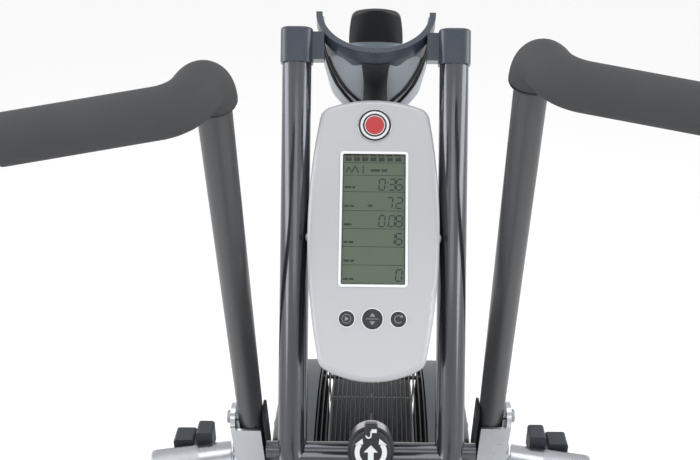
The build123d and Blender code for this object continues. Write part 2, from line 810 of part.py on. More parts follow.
with BuildPart() as arm_bolts:
    for up in bolt_up:
        with BuildSketch(arm_plane(strap_x)):
            with Locations((up, 0)):
                Circle(5)
        extrude(amount=lever_x + lever_thickness - strap_x)
        with BuildSketch(arm_plane(lever_x + lever_thickness)):
            with Locations((up, 0)):
                Circle(8.5)
        extrude(amount=6)
    fillet(arm_bolts.faces().sort_by(Axis.X)[-2:].edges(), 3)
save_pair(arm_bolts, "arm_bolts", -phase_gap)

rod_x = lever_x - rod_gap - rod_thickness
lever_pin = on_arm(0, -lever_reach)
for hand, side, turn in (("right", 1, -1), ("left", -1, 1)):
    swing = radians(-phase_gap if hand == "right" else 0.0)
    reach_y = lever_pin.Y - pivot_y
    reach_z = lever_pin.Z - pivot_z
    front_y = pivot_y + reach_y * cos(swing) - reach_z * sin(swing)
    front_z = pivot_z + reach_y * sin(swing) + reach_z * cos(swing)
    with BuildPart() as rod:
        with BuildSketch(side_plane(side * rod_x)):
            with Locations((front_y, front_z), (crank_y, crank_z + turn * rod_throw)):
                Circle(10)
            make_hull()
            with Locations((front_y, front_z), (crank_y, crank_z + turn * rod_throw)):
                Circle(14)
            with Locations((front_y, front_z)):
                Circle(6 + running_gap, mode=Mode.SUBTRACT)
            with Locations((crank_y, crank_z + turn * rod_throw)):
                Circle(7 + running_gap, mode=Mode.SUBTRACT)
        extrude(amount=side * rod_thickness)
    save(rod, "link_rod_" + hand)

with BuildPart() as peg:
    with BuildSketch(side_plane(leg_x, pivot_y, pivot_z)):
        Circle(axle_radius)
    extrude(amount=peg_start_x - leg_x + 4)
    peg_dir = (cos(radians(peg_sweep)), -sin(radians(peg_sweep)), 0)
    with BuildSketch(Plane(origin=(peg_start_x, pivot_y, pivot_z), x_dir=(0, 0, 1), z_dir=peg_dir)):
        Circle(peg_radius)
    extrude(amount=peg_length)
    fillet(peg.faces().sort_by(Axis.X)[-1].edges(), 3)
    with BuildSketch(side_plane(lever_x + lever_thickness + 5 + skin_gap, pivot_y, pivot_z)):
        RegularPolygon(14, 6)
    extrude(amount=4)
save_pair(peg, "foot_peg")

stop_y = pivot_y - tan(radians(peg_sweep)) * (240 - peg_start_x) + peg_radius + 10
with BuildPart() as stops:
    for x, wide, top in ((227.0, 22.0, 690.0), (255.0, 28.0, 678.0)):
        with BuildSketch(side_plane(x - wide / 2, stop_y, (pivot_z + top) / 2)):
            Rectangle(26, top - pivot_z)
        extrude(amount=wide)
    fillet(stops.edges().filter_by(Axis.Y), 4)
    with BuildSketch(Plane(origin=(peg_start_x, pivot_y, pivot_z), x_dir=(0, 0, 1), z_dir=peg_dir)):
        Circle(peg_radius + fit_gap)
    extrude(amount=peg_length, mode=Mode.SUBTRACT)
    add(mirror(stops.part, about=Plane.YZ, mode=Mode.PRIVATE))
save(stops, "peg_stops")

# --- seat ---
with BuildPart() as seat_post:
    with BuildSketch(Plane(origin=on_seat_line(seat_post_low), z_dir=seat_dir)):
        Circle(seat_post_radius)
        Circle(seat_post_radius - 2.5, mode=Mode.SUBTRACT)
    extrude(amount=(saddle_z - 12 - seat_post_low) / cos(radians(seat_lean)))
    with BuildSketch(Plane.XY.offset(saddle_z - 16)):
        with Locations((0, on_seat_line(saddle_z).Y)):
            RectangleRounded(44, 70, 6)
    extrude(amount=10)
save(seat_post, "seat_post")


def saddle_outline(inset):
    """Broad at the back, narrow at the nose."""
    centre_y = on_seat_line(saddle_z).Y
    with Locations((0, centre_y - 20)):
        Circle(saddle_rear_radius - inset)
    with Locations((0, centre_y - 20 + saddle_length - saddle_rear_radius - saddle_nose_radius)):
        Circle(saddle_nose_radius - inset)
    make_hull()


with BuildPart() as saddle_base:
    with BuildSketch(Plane.XY.offset(saddle_z - 6)):
        saddle_outline(10)
    extrude(amount=6)
save(saddle_base, "saddle_base")

with BuildPart() as saddle:
    with BuildSketch(Plane.XY.offset(saddle_z)):
        saddle_outline(0)
    extrude(amount=saddle_height)
    fillet(saddle.faces().sort_by(Axis.Z)[-1].edges(), 22)
save(saddle, "saddle")

with BuildPart() as seat_knob:
    knob_point = on_seat_line(seat_tube_top - 30)
    with BuildSketch(Plane(origin=knob_point + Vector(0, -seat_post_radius - 4, 0), z_dir=(0, -1, 0))):
        Circle(6)
    extrude(amount=20)
    with BuildSketch(Plane(origin=knob_point + Vector(0, -seat_tube_radius - 9, 0), z_dir=(0, -1, 0))):
        Circle(20)
    extrude(amount=18)
    fillet(seat_knob.faces().sort_by(Axis.Y)[0].edges(), 4)
save(seat_knob, "seat_knob")

# --- transport wheels between the front forks ---
with BuildPart() as wheels:
    for side in (-1, 1):
        with BuildSketch(side_plane(side * wheel_x - 11, wheel_y, wheel_z)):
            Circle(wheel_radius)
            Circle(wheel_axle_radius + running_gap, mode=Mode.SUBTRACT)
        extrude(amount=22)
save(wheels, "transport_wheels")
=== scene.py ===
from math import cos, pi, radians, sin

import bmesh
import bpy
import numpy as np
from mathutils import Matrix


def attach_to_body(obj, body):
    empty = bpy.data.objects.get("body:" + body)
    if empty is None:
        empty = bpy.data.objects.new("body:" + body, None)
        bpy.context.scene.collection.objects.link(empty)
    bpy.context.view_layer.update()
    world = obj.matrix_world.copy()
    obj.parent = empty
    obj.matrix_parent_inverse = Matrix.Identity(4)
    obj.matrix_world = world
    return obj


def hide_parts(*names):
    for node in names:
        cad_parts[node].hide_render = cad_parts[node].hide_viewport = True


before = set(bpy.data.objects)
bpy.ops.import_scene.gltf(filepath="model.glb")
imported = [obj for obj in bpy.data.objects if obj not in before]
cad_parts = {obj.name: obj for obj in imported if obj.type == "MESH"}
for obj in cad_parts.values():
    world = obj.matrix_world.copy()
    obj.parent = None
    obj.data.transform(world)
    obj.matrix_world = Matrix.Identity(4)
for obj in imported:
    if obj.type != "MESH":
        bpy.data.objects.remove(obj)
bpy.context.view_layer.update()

# ---------------------------------------------------------------- camera, light and floor
# A rider's view from where the head is, leaning a little over the console. Broad soft boxes
# stand on both sides, so that round tubes carry long pale highlights. The floor is plain.
scene = bpy.context.scene
scene.view_settings.view_transform = "Standard"


def linear(r, g, b):
    """Screen colour from 0 to 255 as linear light: ((c + 0.055) / 1.055) ** 2.4 above the toe."""
    c = np.array((r, g, b)) / 255.0
    return tuple(np.where(c < 0.04045, c / 12.92, ((c + 0.055) / 1.055) ** 2.4)) + (1.0,)


eye_place = (0.0, -0.659, 1.508)
eye_tilt, eye_roll = radians(62.0), radians(0.7)
camera = bpy.data.objects.new("rider_view", bpy.data.cameras.new("rider_view"))
camera.data.lens = 46.29
camera.data.sensor_width = 36.0
camera.data.shift_x = -0.0336
camera.data.clip_start = 0.02
camera.matrix_world = (
    Matrix.Translation(eye_place) @ Matrix.Rotation(eye_tilt, 4, "X") @ Matrix.Rotation(eye_roll, 4, "Z")
)
scene.collection.objects.link(camera)
scene.camera = camera

# The room is white to the eye. What the machine mirrors of it is a little dimmer ahead and behind
# than at the sides, which keeps the tubes from looking flat.
world = bpy.data.worlds.new("studio")
world.use_nodes = True
room = world.node_tree
backdrop = room.nodes["Background"]
backdrop.inputs["Color"].default_value = (1.0, 1.0, 1.0, 1.0)
direction = room.nodes.new("ShaderNodeTexCoord")
axes = room.nodes.new("ShaderNodeSeparateXYZ")
sideways = room.nodes.new("ShaderNodeMath")
sideways.operation = "ABSOLUTE"
dimmer = room.nodes.new("ShaderNodeMapRange")
dimmer.inputs["From Min"].default_value = 0.1
dimmer.inputs["From Max"].default_value = 0.9
dimmer.inputs["To Min"].default_value = 0.8
dimmer.inputs["To Max"].default_value = 1.2
ray = room.nodes.new("ShaderNodeLightPath")
seen = room.nodes.new("ShaderNodeMix")
seen.inputs["B"].default_value = 1.0
room.links.new(direction.outputs["Generated"], axes.inputs["Vector"])
room.links.new(axes.outputs["X"], sideways.inputs[0])
room.links.new(sideways.outputs["Value"], dimmer.inputs["Value"])
room.links.new(ray.outputs["Is Camera Ray"], seen.inputs["Factor"])
room.links.new(dimmer.outputs["Result"], seen.inputs["A"])
room.links.new(seen.outputs["Result"], backdrop.inputs["Strength"])
scene.world = world

for light_name, place, aim, panel, power in (
    ("left_box", (-1.6, -0.3, 1.5), (0, -76, 0), (0.5, 2.2), 11.0),
    ("right_box", (1.6, -0.3, 1.5), (0, 76, 0), (0.5, 2.2), 11.0),
    ("top_box", (0.0, 0.2, 3.1), (0, 0, 0), (1.4, 1.4), 12.0),
    ("rear_box", (0.0, -2.0, 2.4), (58, 0, 0), (1.6, 0.8), 5.0),
):
    lamp = bpy.data.lights.new(light_name, "AREA")
    lamp.shape = "RECTANGLE"
    lamp.size, lamp.size_y = panel
    lamp.energy = power
    box = bpy.data.objects.new(light_name, lamp)
    box.location = place
    box.rotation_euler = [radians(a) for a in aim]
    scene.collection.objects.link(box)


def solid(name, points, faces, smooth=True, sharp=35.0):
    """Mesh object from an array of points in metres and a list of faces, smooth below an angle."""
    mesh = bpy.data.meshes.new(name)
    mesh.from_pydata(np.asarray(points, dtype=float).reshape(-1, 3).tolist(), [], faces)
    mesh.validate()
    shell = bmesh.new()
    shell.from_mesh(mesh)
    bmesh.ops.recalc_face_normals(shell, faces=shell.faces)
    shell.to_mesh(mesh)
    shell.free()
    mesh.update()
    if smooth:
        mesh.shade_smooth()
        mesh.set_sharp_from_angle(angle=radians(sharp))
    piece = bpy.data.objects.new(name, mesh)
    scene.collection.objects.link(piece)
    return piece


def grid_faces(rows, cols, wrap_rows=False, wrap_cols=True, start=0):
    """Quads between neighbouring rows of a grid of points, with end caps for an open tube."""
    r = np.arange(rows if wrap_rows else rows - 1)
    c = np.arange(cols if wrap_cols else cols - 1)
    r, c = np.meshgrid(r, c, indexing="ij")
    a, b = r * cols + c, r * cols + (c + 1) % cols
    d, e = ((r + 1) % rows) * cols + c, ((r + 1) % rows) * cols + (c + 1) % cols
    faces = (np.stack([a, b, e, d], axis=-1).reshape(-1, 4) + start).tolist()
    if wrap_cols and not wrap_rows:
        faces.append((np.arange(cols)[::-1] + start).tolist())
        faces.append((np.arange(cols) + (rows - 1) * cols + start).tolist())
    return faces


far = 30
floor_corners = [(-far, -far, 0), (far, -far, 0), (far, far, 0), (-far, far, 0)]
floor = solid("floor", floor_corners, [(0, 1, 2, 3)], smooth=False)

# ---------------------------------------------------------------- shared finishes
# Two small patterns that all the coats and plastics use: a fine moulded or sprayed grain, and a
# broad uneven sheen left by handling.


def pattern(name, inputs, outputs):
    """Empty node group with number inputs and named outputs."""
    tree = bpy.data.node_groups.new(name, "ShaderNodeTree")
    for label, value in inputs:
        socket = tree.interface.new_socket(label, in_out="INPUT", socket_type="NodeSocketFloat")
        socket.default_value = value
    for label, kind in outputs:
        tree.interface.new_socket(label, in_out="OUTPUT", socket_type=kind)
    return tree, tree.nodes.new("NodeGroupInput"), tree.nodes.new("NodeGroupOutput")


grain, grain_in, grain_out = pattern(
    "fine_grain",
    [("Scale", 900.0), ("Depth", 0.1)],
    [("Normal", "NodeSocketVector"), ("Mask", "NodeSocketFloat")],
)
coords = grain.nodes.new("ShaderNodeTexCoord")
noise = grain.nodes.new("ShaderNodeTexNoise")
noise.inputs["Detail"].default_value = 3.0
bump = grain.nodes.new("ShaderNodeBump")
bump.inputs["Distance"].default_value = 0.0006
grain.links.new(coords.outputs["Object"], noise.inputs["Vector"])
grain.links.new(grain_in.outputs["Scale"], noise.inputs["Scale"])
grain.links.new(noise.outputs["Fac"], bump.inputs["Height"])
grain.links.new(grain_in.outputs["Depth"], bump.inputs["Strength"])
grain.links.new(bump.outputs["Normal"], grain_out.inputs["Normal"])
grain.links.new(noise.outputs["Fac"], grain_out.inputs["Mask"])

sheen, sheen_in, sheen_out = pattern(
    "handled_sheen", [("Low", 0.3), ("High", 0.4)], [("Roughness", "NodeSocketFloat")]
)
coords = sheen.nodes.new("ShaderNodeTexCoord")
noise = sheen.nodes.new("ShaderNodeTexNoise")
noise.inputs["Scale"].default_value = 9.0
noise.inputs["Detail"].default_value = 5.0
spread = sheen.nodes.new("ShaderNodeMapRange")
spread.inputs["From Min"].default_value = 0.3
spread.inputs["From Max"].default_value = 0.7
sheen.links.new(coords.outputs["Object"], noise.inputs["Vector"])
sheen.links.new(noise.outputs["Fac"], spread.inputs["Value"])
sheen.links.new(sheen_in.outputs["Low"], spread.inputs["To Min"])
sheen.links.new(sheen_in.outputs["High"], spread.inputs["To Max"])
sheen.links.new(spread.outputs["Result"], sheen_out.inputs["Roughness"])


def finish(name, colour, metal=0.0, rough=(0.3, 0.4), scale=900.0, depth=0.08, coat=0.0, vary=0.12):
    """Principled finish: a base colour times (1 - vary) to (1 + vary) by the grain, a roughness
    between two values by the handled sheen, and the grain's bumps."""
    material = bpy.data.materials.new(name)
    material.use_nodes = True
    tree = material.node_tree
    shader = tree.nodes["Principled BSDF"]
    shader.inputs["Metallic"].default_value = metal
    shader.inputs["Coat Weight"].default_value = coat
    shader.inputs["Coat Roughness"].default_value = 0.12
    fine = tree.nodes.new("ShaderNodeGroup")
    fine.node_tree = grain
    fine.inputs["Scale"].default_value = scale
    fine.inputs["Depth"].default_value = depth
    uneven = tree.nodes.new("ShaderNodeGroup")
    uneven.node_tree = sheen
    uneven.inputs["Low"].default_value = rough[0]
    uneven.inputs["High"].default_value = rough[1]
    tint = tree.nodes.new("ShaderNodeMix")
    tint.data_type = "RGBA"
    base = np.array(linear(*colour))
    tint.inputs["A"].default_value = tuple(base * (1.0 - vary))[:3] + (1.0,)
    tint.inputs["B"].default_value = tuple(np.minimum(base * (1.0 + vary), 1.0))[:3] + (1.0,)
    tree.links.new(fine.outputs["Mask"], tint.inputs["Factor"])
    tree.links.new(tint.outputs["Result"], shader.inputs["Base Color"])
    tree.links.new(uneven.outputs["Roughness"], shader.inputs["Roughness"])
    tree.links.new(fine.outputs["Normal"], shader.inputs["Normal"])
    return material


def wear(names, material):
    """Give CAD nodes, or pieces made here, one finish."""
    for name in names:
        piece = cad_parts[name] if isinstance(name, str) else name
        piece.data.materials.clear()
        piece.data.materials.append(material)


def attach(piece, body, material):
    """Fix a finished piece to a body, with the record's slot and its finish."""
    wear([piece], material)
    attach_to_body(piece, body)


pale_floor = finish("pale_floor", (252, 252, 252), rough=(0.6, 0.7), scale=40.0, depth=0.02, vary=0.01)
wear([floor], pale_floor)

# ---------------------------------------------------------------- base frame and legs
# Rectangular and round steel tubes, welded and powder coated in a satin black. The coat is
# slightly orange-peeled.
frame_paint = finish("frame_paint", (38, 41, 44), rough=(0.3, 0.42), scale=420.0, depth=0.05, coat=0.25)
wear(
    ["base_beam", "front_stabilizer", "rear_stabilizer", "head_post", "seat_tube",
     "fan_leg_left", "fan_leg_right"],
    frame_paint,
)

# Moulded rubber feet and a ribbed drive belt: matt black with a fine pebbled skin. The feet are
# pushed over the ends of the tubes.
rubber = finish("rubber", (26, 26, 27), rough=(0.7, 0.85), scale=700.0, depth=0.35)
wear(["rubber_feet", "drive_belt"], rubber)

# ---------------------------------------------------------------- mast, crossbar and bracket
# Two bent steel tubes, a crossbar and the console's strap, in a gloss gunmetal paint. Its
# wet-looking coat carries long highlights.
mast_paint = finish(
    "mast_paint", (78, 80, 86), metal=0.8, rough=(0.14, 0.2), scale=300.0, depth=0.015, coat=0.6
)
wear(["mast_tube_left", "mast_tube_right", "mast_crossbar", "console_bracket"], mast_paint)

# ---------------------------------------------------------------- arms
# Straight steel tubes in a flatter coat than the mast's. They lean towards the rider and bend
# over at the top into the grips.
arm_paint = finish(
    "arm_paint", (72, 74, 77), metal=0.35, rough=(0.36, 0.46), scale=500.0, depth=0.06, coat=0.15
)
wear(["arm_tube_left", "arm_tube_right"], arm_paint)

# Pressed channel levers, bright zinc plated, with blackened clamp straps and bolts.
zinc = finish(
    "bright_zinc", (196, 200, 205), metal=1.0, rough=(0.16, 0.3), scale=160.0, depth=0.05, vary=0.06
)
wear(["lever_left", "lever_right", "foot_peg_left", "foot_peg_right"], zinc)
black_steel = finish("black_steel", (32, 33, 35), metal=0.6, rough=(0.35, 0.5), scale=500.0, depth=0.08)
wear(["strap_left", "strap_right"], black_steel)
bolt_steel = finish("bolt_steel", (150, 153, 157), metal=1.0, rough=(0.25, 0.38), scale=400.0, depth=0.05)
wear(["arm_bolts_left", "arm_bolts_right"], bolt_steel)

# ---------------------------------------------------------------- turned and forged steel
# Axles, bearings, link rods and the seat post: plain steel, ground or zinc plated.
steel = finish("steel", (165, 167, 170), metal=1.0, rough=(0.24, 0.36), scale=260.0, depth=0.06, vary=0.08)
wear(
    ["fan_axle", "bearings", "link_rod_left", "link_rod_right", "fan_hub", "seat_post", "crank_spindle"],
    steel,
)
crank_metal = finish("crank_metal", (120, 123, 128), metal=0.9, rough=(0.34, 0.46), scale=350.0, depth=0.12)
wear(["crank_arm_left", "crank_arm_right"], crank_metal)
fan_steel = finish("fan_steel", (150, 152, 155), metal=0.3, rough=(0.45, 0.6), scale=500.0, depth=0.06)
wear(["fan_blades"], fan_steel)

# ---------------------------------------------------------------- plastics
# Moulded covers and caps: a fine spark-eroded grain on the shrouds, smoother caps and cup.
shroud_plastic = finish("shroud_plastic", (74, 79, 84), rough=(0.42, 0.52), scale=1300.0, depth=0.25)
wear(["shroud_left", "shroud_right"], shroud_plastic)
cap_plastic = finish("cap_plastic", (48, 56, 68), rough=(0.24, 0.34), scale=1100.0, depth=0.06, coat=0.2)
wear(["mast_cap_left", "mast_cap_right", "holder_rim"], cap_plastic)
grey_plastic = finish("grey_plastic", (150, 158, 166), rough=(0.3, 0.42), scale=1000.0, depth=0.08)
wear(["holder_cup"], grey_plastic)
black_plastic = finish("black_plastic", (30, 31, 33), rough=(0.32, 0.45), scale=1200.0, depth=0.12)
wear(
    ["console_back", "lock_knob", "seat_knob", "pedal_left", "pedal_right", "saddle_base",
     "button_left", "button_middle", "button_right"],
    black_plastic,
)
silver_plastic = finish(
    "silver_plastic", (178, 180, 184), metal=0.1, rough=(0.3, 0.38), scale=1500.0, depth=0.05, vary=0.04
)
wear(["console_front"], silver_plastic)

# ---------------------------------------------------------------- display
# A grey-green liquid-crystal panel behind a clear window, in a pale snap-in bezel. Its dark
# figures are flat segments just above the panel: a scale of blocks, then rows of numbers.
face_tilt = radians(38)
face_point = np.array((0.0, 0.183, 1.060))
face_up = (0.0, sin(face_tilt), cos(face_tilt))
face_out = (0.0, -cos(face_tilt), sin(face_tilt))
window_low, window_high, window_half = -61.0, 86.5, 37.0


def laid_on(at, x_way, y_way, out_way):
    """Function that lays flat outlines in millimetres on a surface in metres:
    point = at + (x * x_way + y * y_way + out * out_way) / 1000."""
    x_way, y_way, out_way = np.array(x_way, float), np.array(y_way, float), np.array(out_way, float)

    def place(points, out):
        points = np.asarray(points, dtype=float)
        return at + (points[..., 0:1] * x_way + points[..., 1:2] * y_way + out * out_way) / 1000.0

    return place


on_face = laid_on(face_point, (1, 0, 0), face_up, face_out)


def stamps(name, shapes, place, low, high):
    """Flat prisms: each outline is laid at two heights, with a face on top and sides between."""
    points, faces, start = [], [], 0
    for shape in shapes:
        count = len(shape)
        points.append(place(shape, low))
        points.append(place(shape, high))
        ring = np.arange(count)
        after = (ring + 1) % count
        sides = np.stack([ring, after, after + count, ring + count], axis=-1) + start
        faces += sides.tolist()
        faces.append((ring + count + start).tolist())
        faces.append((ring[::-1] + start).tolist())
        start += 2 * count
    return solid(name, np.concatenate(points), faces, smooth=False)


def block(x0, x1, v0, v1):
    """Rectangle between two corners."""
    return np.array(((x0, v0), (x1, v0), (x1, v1), (x0, v1)))


def rounded(width, height, radius, steps=8, centre=(0.0, 0.0)):
    """Rounded rectangle: four arcs of radius r about corners inset by r, joined in order."""
    a = np.linspace(0, pi / 2, steps)
    turns = np.arange(4)[:, None] * pi / 2 + a
    inset = np.array((width / 2 - radius, height / 2 - radius))
    corner = np.array(((1, 1), (-1, 1), (-1, -1), (1, -1))) * inset
    ring = corner[:, None, :] + radius * np.stack([np.cos(turns), np.sin(turns)], axis=-1)
    return ring.reshape(-1, 2) + np.array(centre)


def disc(radius, centre=(0.0, 0.0), steps=48, start=0.0, stop=2 * pi):
    """Points (r cos a, r sin a) round a centre."""
    a = np.linspace(start, stop, steps, endpoint=abs(stop - start - 2 * pi) > 1e-6)
    return np.stack([np.cos(a), np.sin(a)], axis=-1) * radius + np.array(centre)


def arc_band(radius, width, start, stop, centre=(0.0, 0.0), steps=20):
    """Curved strip between r + w / 2 and r - w / 2: along one arc and back along the other."""
    outer = disc(radius + width / 2, centre, steps, start, stop)
    inner = disc(radius - width / 2, centre, steps, start, stop)
    return np.concatenate([outer, inner[::-1]])


def seven(x, v, digit, width=6.2, height=12.0, bar=1.55, gap=0.35, slant=0.09):
    """Slanted seven-segment figure with its lower left corner at x, v: each lit segment is a thin
    six-sided bar, and x grows by slant * height."""
    lit = {"0": "abcdef", "1": "bc", "2": "abged", "3": "abgcd", "4": "fgbc", "5": "afgcd",
           "6": "afgedc", "7": "abc", "8": "abcdefg", "9": "abcdfg"}[digit]
    half = height / 2
    ends = {"a": ((0, height), (width, height)), "b": ((width, half), (width, height)),
            "c": ((width, 0), (width, half)), "d": ((0, 0), (width, 0)), "e": ((0, 0), (0, half)),
            "f": ((0, half), (0, height)), "g": ((0, half), (width, half))}
    shapes = []
    for segment in lit:
        p, q = np.array(ends[segment], dtype=float)
        along = (q - p) / np.linalg.norm(q - p)
        side = np.array((-along[1], along[0])) * bar / 2
        p, q = p + along * gap, q - along * gap
        tip = along * bar / 2
        shape = np.array((p, p + tip + side, q - tip + side, q, q - tip - side, p + tip - side))
        shape[:, 0] += shape[:, 1] * slant
        shapes.append(shape + np.array((x, v)))
    return shapes


def number(right, v, text, step=7.9, point_step=2.6, colon_step=2.8):
    """Right-aligned row of figures; a point or a colon takes little room."""
    shapes, x = [], right
    for mark in text[::-1]:
        if mark == ".":
            x -= point_step
            shapes.append(block(x + 0.8, x + 2.0, v - 0.6, v + 0.7))
        elif mark == ":":
            x -= colon_step
            shapes += [block(x + 0.9, x + 2.0, v + 3, v + 4.2), block(x + 1.2, x + 2.3, v + 7.6, v + 8.8)]
        else:
            x -= step
            shapes += seven(x, v, mark)
    return shapes


# From the top: a scale of seven blocks between two rules, a zigzag sign, then six rows, each with
# a rule, blocks where words would stand, and a number at the right.
figures = []
for index in range(7):
    left = -31.0 + index * 8.9
    figures.append(block(left, left + 6.6, 76.0, 80.5))
    figures.append(block(left, left + 2.4, 82.0, 84.6))
    figures.append(block(left + 3.4, left + 5.4, 82.0, 84.6))
figures += [block(-32.5, 32.5, 74.0, 74.7), block(-32.5, 32.5, 85.4, 85.9)]
peaks = np.array(((-31, 63), (-27.5, 71), (-24.5, 65), (-20.5, 72), (-16, 63), (-17.6, 63), (-20.5, 69),
                  (-24.3, 62.4), (-27.3, 68.2), (-29.4, 63)))
figures += [peaks, block(-12.5, -11.2, 63, 71), block(-4, 6, 64.5, 67.3), block(8, 14, 64.5, 67.3)]
for rule in (60.2, 42.0, 21.4, 1.9, -17.6, -37.1):
    figures.append(block(-33.5, 33.5, rule, rule + 0.65))
word_height, word_space = 2.4, 1.2
words = ((46, (7, 3)), (25.5, (5, 4)), (5.5, (8,)), (-13.5, (4, 5)), (-33.5, (6, 4)), (-53, (5, 5)))
for v, lengths in words:
    left = -31.5
    for length in lengths:
        figures.append(block(left, left + length, v, v + word_height))
        left += length + word_space
figures.append(block(-6.5, -1.5, 26, 26 + word_height))
for v, text in ((44.5, "0:36"), (24.4, "7.2"), (4.6, "0.08"), (-14.6, "16"), (-53.5, "0")):
    figures += number(31.5, v, text)
digits = stamps("display_figures", figures, on_face, -3.45, -3.4)
lcd_ink = finish("lcd_ink", (34, 44, 40), rough=(0.5, 0.6), vary=0.02)
attach(digits, "frame", lcd_ink)
lcd = finish("lcd_panel", (122, 138, 118), rough=(0.35, 0.45), scale=2500.0, depth=0.03, vary=0.03)
wear(["display_board"], lcd)


def ring_of(name, outer, inner, place, low, high):
    """Frame between two outlines with the same number of points: four walls joined round."""
    grid = np.stack([place(outer, low), place(outer, high), place(inner, high), place(inner, low)])
    return solid(name, grid, grid_faces(4, len(outer), wrap_rows=True))


def window_outline(inset, radius):
    """The window's outline drawn in by an inset, with rounded corners."""
    middle = (0.0, (window_low + window_high) / 2)
    width, height = 2 * window_half, window_high - window_low
    return rounded(width - 2 * inset, height - 2 * inset, radius, centre=middle)


bezel = ring_of("display_bezel", window_outline(0.3, 3.6), window_outline(3.2, 1.6), on_face, -0.7, 0.5)
bezel_plastic = finish("bezel_plastic", (226, 229, 232), rough=(0.22, 0.3), vary=0.02)
attach(bezel, "frame", bezel_plastic)
gasket = ring_of("display_gasket", window_outline(3.25, 1.6), window_outline(3.95, 1.0), on_face, -0.7, 0.1)
attach(gasket, "frame", black_plastic)

# The window lets light straight through and mirrors a little of the room at a slant.
window = bpy.data.materials.new("clear_window")
window.use_nodes = True
tree = window.node_tree
tree.nodes.clear()
through = tree.nodes.new("ShaderNodeBsdfTransparent")
through.inputs["Color"].default_value = (0.95, 0.97, 0.95, 1.0)
gloss = tree.nodes.new("ShaderNodeBsdfGlossy")
gloss.inputs["Roughness"].default_value = 0.06
slant = tree.nodes.new("ShaderNodeFresnel")
slant.inputs["IOR"].default_value = 1.45
blend = tree.nodes.new("ShaderNodeMixShader")
result = tree.nodes.new("ShaderNodeOutputMaterial")
tree.links.new(slant.outputs["Fac"], blend.inputs["Fac"])
tree.links.new(through.outputs["BSDF"], blend.inputs[1])
tree.links.new(gloss.outputs["BSDF"], blend.inputs[2])
tree.links.new(blend.outputs["Shader"], result.inputs["Surface"])
wear(["console_lens"], window)

# ---------------------------------------------------------------- badge and buttons
# A domed disc in a bright rim, printed with two plain rings, and three rubber-topped buttons in
# shallow wells, with printed signs: start, up and down, and repeat.
badge_at = (0.0, 115.0)
full_ring = 2 * pi - 0.001
rim_metal = finish("badge_rim", (205, 207, 210), metal=1.0, rough=(0.15, 0.22), vary=0.03)
wear(["console_badge"], rim_metal)
dark_print = finish("badge_dark", (34, 36, 40), rough=(0.2, 0.26), coat=0.6, vary=0.03)
red_print = finish("badge_red", (176, 44, 48), rough=(0.18, 0.24), coat=0.7, vary=0.04)
pale_print = finish("pale_print", (214, 216, 218), rough=(0.3, 0.4), vary=0.02)
attach(stamps("badge_ring", [disc(17.7, badge_at, 64)], on_face, 1.1, 1.35), "frame", dark_print)
attach(stamps("badge_centre", [disc(10.4, badge_at, 64)], on_face, 1.3, 1.6), "frame", red_print)
ring_sizes = ((14.2, 2.4), (10.6, 0.7))
rings = [arc_band(radius, width, 0, full_ring, badge_at, 64) for radius, width in ring_sizes]
attach(stamps("badge_rings", rings, on_face, 1.32, 1.72), "frame", pale_print)

button_up = -94.0
for name, x, radius in (("left", -27.0, 7.8), ("middle", 0.0, 10.4), ("right", 27.0, 7.8)):
    at = (x, button_up)
    lip, opening = disc(radius + 1.3, at, 64), disc(radius + 0.35, at, 64)
    well = ring_of("button_well_" + name, lip, opening, on_face, -0.4, 0.25)
    attach(well, "frame", bezel_plastic)
    if name == "left":
        signs = [arc_band(4.6, 0.6, 0, full_ring, at, 40),
                 np.array(((x - 1.6, button_up - 2.4), (x + 2.6, button_up), (x - 1.6, button_up + 2.4)))]
    elif name == "middle":
        signs = [block(x - 6.4, x + 6.4, button_up - 0.3, button_up + 0.4),
                 np.array(((x - 3, button_up + 2.4), (x + 3, button_up + 2.4), (x, button_up + 6.4))),
                 np.array(((x - 3, button_up - 2.4), (x, button_up - 6.4), (x + 3, button_up - 2.4)))]
    else:
        head = np.array(((1.6, 1.6), (5.4, 2.2), (3.4, 5.0))) + np.array(at)
        signs = [arc_band(3.9, 0.8, 0.6, 5.6, at, 30), head]
    sign = stamps("button_sign_" + name, signs, on_face, 1.75, 1.85)
    button_print = finish("button_print_" + name, (128, 132, 136), rough=(0.4, 0.5))
    attach(sign, "button_" + name, button_print)

# ---------------------------------------------------------------- bottle holder
# A moulded cup between the caps: a dark rim, a pale wall, two raised ribs that sweep down from
# the rim's ends to its foot, prongs at both ends and a domed black back rest behind the opening.
lean = radians(25)
holder_away = np.array((0.0, cos(lean), sin(lean)))
holder_down = np.array((0.0, sin(lean), -cos(lean)))
holder_centre = np.array((0.0, 0.341, 1.246))


def round_holder(angle, depth, radius):
    """Point on the cup = centre + radius * (sin a * right - cos a * away) + depth * down, with the
    angle a counted from the rider's side to the right, in mm."""
    angle, depth, radius = np.broadcast_arrays(angle, depth, radius)
    side = np.array((1.0, 0, 0)) * (radius * np.sin(angle))[..., None]
    back = -holder_away * (radius * np.cos(angle))[..., None]
    return holder_centre + (side + back + holder_down * depth[..., None]) / 1000.0


def cup_radius(depth):
    """Outer radius of the cup at each depth: nearly straight, then drawn in to its foot."""
    return np.interp(depth, [8, 60, 96, 114, 125], [62, 61, 55, 46, 30])


def in_holder(x, away, up):
    """Point across, away from the rider and up from the holder's rim centre, in mm."""
    x, away, up = np.broadcast_arrays(x, away, up)
    level = x[..., None] * np.array((1.0, 0, 0)) + away[..., None] * holder_away
    return holder_centre + (level - up[..., None] * holder_down) / 1000.0


